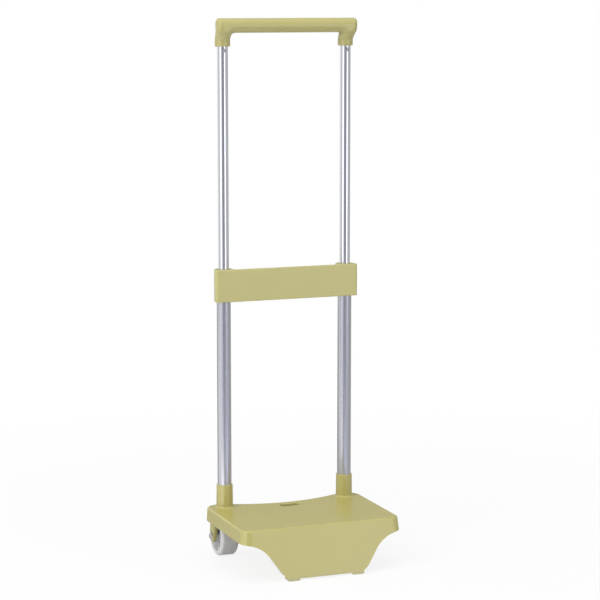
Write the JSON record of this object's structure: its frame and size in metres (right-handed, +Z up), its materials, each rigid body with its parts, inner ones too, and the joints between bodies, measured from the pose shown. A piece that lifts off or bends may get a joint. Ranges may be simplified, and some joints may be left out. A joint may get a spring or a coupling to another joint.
{
  "type": "backpack trolley",
  "caption": "Upright backpack trolley: moulded platform with a raked front stand and rear wheels, tube frame with a crossbar, telescopic handle held by spring buttons.",
  "frame": {"origin": "on the floor, under the middle of the trolley's footprint", "axes": "+Z up along the tubes, -Y towards the front of the platform, +X to the right seen from the front"},
  "size_m": [0.2634, 0.219, 0.85],
  "materials": {
    "moulded_plastic": "satin khaki moulding with a fine grain",
    "tube_aluminium": "bright drawn tube",
    "wheel_plastic": "light grey moulding, slightly worn tread",
    "bush_plastic": "smooth natural sliding plastic",
    "steel": "bright zinc-plated steel",
    "nickel": "polished nickel plate"
  },
  "bodies": {
    "frame": {"base_shell": "moulded_plastic", "crossbar": "moulded_plastic", "axle": "steel", "outer_tube_left": "tube_aluminium", "outer_tube_right": "tube_aluminium", "guide_bush_left": "bush_plastic", "guide_bush_right": "bush_plastic", "axle_cap_left": "nickel", "axle_cap_right": "nickel", "socket_screw_left": "steel", "socket_screw_right": "steel", "crossbar_screw_left": "steel", "crossbar_screw_right": "steel"},
    "handle": {"handle_grip": "moulded_plastic", "inner_tube_left": "tube_aluminium", "inner_tube_right": "tube_aluminium", "slider_cap_left": "bush_plastic", "slider_cap_right": "bush_plastic", "handle_screw_left": "steel", "handle_screw_right": "steel", "upper_spring_left": "steel", "upper_spring_right": "steel", "lower_spring_left": "steel", "lower_spring_right": "steel"},
    "wheel_left": {"wheel_left": "wheel_plastic"},
    "wheel_right": {"wheel_right": "wheel_plastic"},
    "upper_button_left": {"upper_button_left": "nickel"},
    "upper_button_right": {"upper_button_right": "nickel"},
    "lower_button_left": {"lower_button_left": "nickel"},
    "lower_button_right": {"lower_button_right": "nickel"}
  },
  "joints": [
    {"name": "handle_slide", "type": "slide", "parent": "frame", "child": "handle", "axis": [0, 0, 1], "range_m": [-0.34515, 0]},
    {"name": "wheel_left_spin", "type": "hinge", "parent": "frame", "child": "wheel_left", "pos_m": [-0.101, 0.0775, 0.032], "axis": [1, 0, 0], "continuous": true},
    {"name": "wheel_right_spin", "type": "hinge", "parent": "frame", "child": "wheel_right", "pos_m": [0.101, 0.0775, 0.032], "axis": [1, 0, 0], "continuous": true},
    {"name": "upper_button_left_press", "type": "slide", "parent": "handle", "child": "upper_button_left", "axis": [0, 1, 0], "range_m": [0, 0.00135], "stiffness_N_per_m": 1500, "springref_m": -0.002, "deforming": ["upper_spring_left"]},
    {"name": "upper_button_right_press", "type": "slide", "parent": "handle", "child": "upper_button_right", "axis": [0, 1, 0], "range_m": [0, 0.00135], "stiffness_N_per_m": 1500, "springref_m": -0.002, "deforming": ["upper_spring_right"]},
    {"name": "lower_button_left_press", "type": "slide", "parent": "handle", "child": "lower_button_left", "axis": [0, 1, 0], "range_m": [0, 0.00135], "stiffness_N_per_m": 1500, "springref_m": -0.002, "deforming": ["lower_spring_left"]},
    {"name": "lower_button_right_press", "type": "slide", "parent": "handle", "child": "lower_button_right", "axis": [0, 1, 0], "range_m": [0, 0.00135], "stiffness_N_per_m": 1500, "springref_m": -0.002, "deforming": ["lower_spring_right"]}
  ]
}
